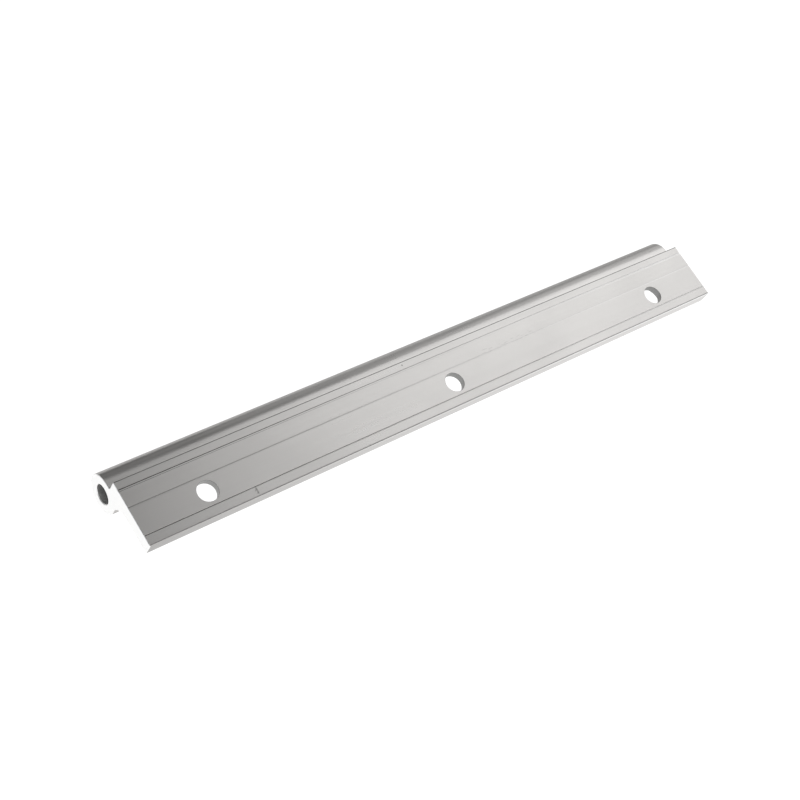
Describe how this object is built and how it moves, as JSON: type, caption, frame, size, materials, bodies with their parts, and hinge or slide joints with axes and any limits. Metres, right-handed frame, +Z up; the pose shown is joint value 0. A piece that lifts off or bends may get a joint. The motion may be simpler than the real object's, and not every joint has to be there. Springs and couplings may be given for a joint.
{
  "type": "linear guide rail",
  "caption": "Single round linear guide rail: an aluminium extrusion with a flat bolting flange, an offset neck and a hollow round track for a sliding bearing.",
  "frame": {"origin": "middle of the bounding box on the floor: half way along the rail and half way across it, where it rests on its track and on the flange's outer lower edge", "axes": "+X along the rail, +Y across from the flange to the track, +Z up; the mounting face looks up and leans back to -Y as the rail lies in the picture"},
  "size_m": [0.3, 0.0398, 0.0191],
  "materials": {
    "aluminium": "satin clear-anodised extrusion with sawn ends"
  },
  "bodies": {
    "root": {"guide_rail": "aluminium"}
  },
  "joints": []
}
